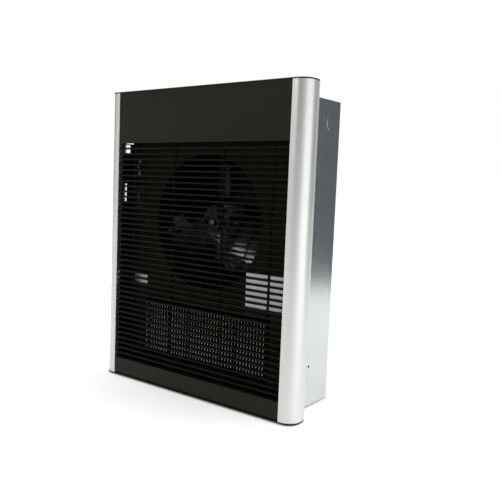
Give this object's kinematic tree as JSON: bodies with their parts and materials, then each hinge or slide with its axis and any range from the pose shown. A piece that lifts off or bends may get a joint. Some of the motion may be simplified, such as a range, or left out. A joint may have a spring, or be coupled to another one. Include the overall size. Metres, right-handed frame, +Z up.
{
  "type": "recessed wall heater",
  "caption": "Recessed fan-forced electric wall heater: louvred black front between rounded aluminium rails, over a galvanised wall box with fan, motor, finned element and controls.",
  "frame": {"origin": "centre of the wall box's back face, which is the centre of its four fixing holes", "axes": "+X right as seen from the room, +Y into the wall, +Z up"},
  "size_m": [0.42, 0.14, 0.508],
  "materials": {
    "satin_aluminium": "satin anodised",
    "black_paint": "semi-matt paint",
    "black_bar": "semi-matt paint",
    "dark_sheet": "matt paint",
    "black_screw": "black oxide",
    "galvanised": "galvanised sheet",
    "zinc_screw": "bright zinc",
    "green_screw": "green paint",
    "black_plastic": "moulded",
    "gloss_plastic_black": "polished",
    "terminal_brass": "bright",
    "blank_plate": "plain satin plate",
    "lamination": "oiled steel laminations",
    "coil_tape": "taped winding",
    "cast_metal": "die cast, darkened",
    "bearing_bronze": "sintered",
    "shaft_steel": "ground",
    "bare_aluminium": "mill finish",
    "dark_steel": "blued sheet",
    "sheath_steel": "annealed",
    "ceramic": "unglazed"
  },
  "bodies": {
    "heater": {"left_rail": "satin_aluminium", "right_rail": "satin_aluminium", "top_end_cap": "black_paint", "bottom_end_cap": "black_paint", "end_cap_screws": "black_screw", "header_panel": "black_paint", "bottom_panel": "black_paint", "louver_bars": "black_bar", "louver_rods": "black_bar", "left_side_baffle": "dark_sheet", "right_side_baffle": "dark_sheet", "cover_hooks": "black_paint", "cover_screws": "black_screw", "wall_box": "galvanised", "knockouts": "galvanised", "ground_screw": "green_screw", "terminal_block": "black_plastic", "terminal_screws": "terminal_brass", "fan_panel": "dark_sheet", "panel_screws": "black_screw", "rating_plate": "blank_plate", "side_plate": "blank_plate", "inlet_ring": "dark_sheet", "motor_bracket": "dark_sheet", "motor_bracket_screws": "black_screw", "stator_stack": "lamination", "motor_coil": "coil_tape", "front_bearing_bracket": "cast_metal", "rear_bearing_bracket": "cast_metal", "shaft_bearings": "bearing_bronze", "motor_screws": "zinc_screw", "element_fins": "bare_aluminium", "element_sheath": "sheath_steel", "left_element_bracket": "galvanised", "right_element_bracket": "galvanised", "element_screws": "zinc_screw", "terminal_insulators": "ceramic", "terminal_pins": "sheath_steel", "thermostat_body": "black_plastic", "thermostat_screws": "zinc_screw", "switch_body": "black_plastic", "high_limit": "black_plastic", "fan_delay": "black_plastic"},
    "fan": {"fan_blades": "dark_steel", "fan_hub": "cast_metal", "hub_set_screw": "black_screw", "motor_shaft": "shaft_steel", "rotor": "lamination"},
    "spindle": {"thermostat_spindle": "shaft_steel"},
    "rocker": {"switch_rocker": "gloss_plastic_black"}
  },
  "joints": [
    {"name": "fan_spin", "type": "hinge", "parent": "heater", "child": "fan", "pos_m": [0, -0.08, 0.04], "axis": [0, 1, 0], "continuous": true},
    {"name": "thermostat_turn", "type": "hinge", "parent": "heater", "child": "spindle", "pos_m": [-0.163, -0.107, 0.13], "axis": [0, 1, 0], "range_deg": [-135, 135]},
    {"name": "switch_rock", "type": "hinge", "parent": "heater", "child": "rocker", "pos_m": [-0.163, -0.104, 0.075], "axis": [1, 0, 0], "range_deg": [-18, 0]}
  ]
}
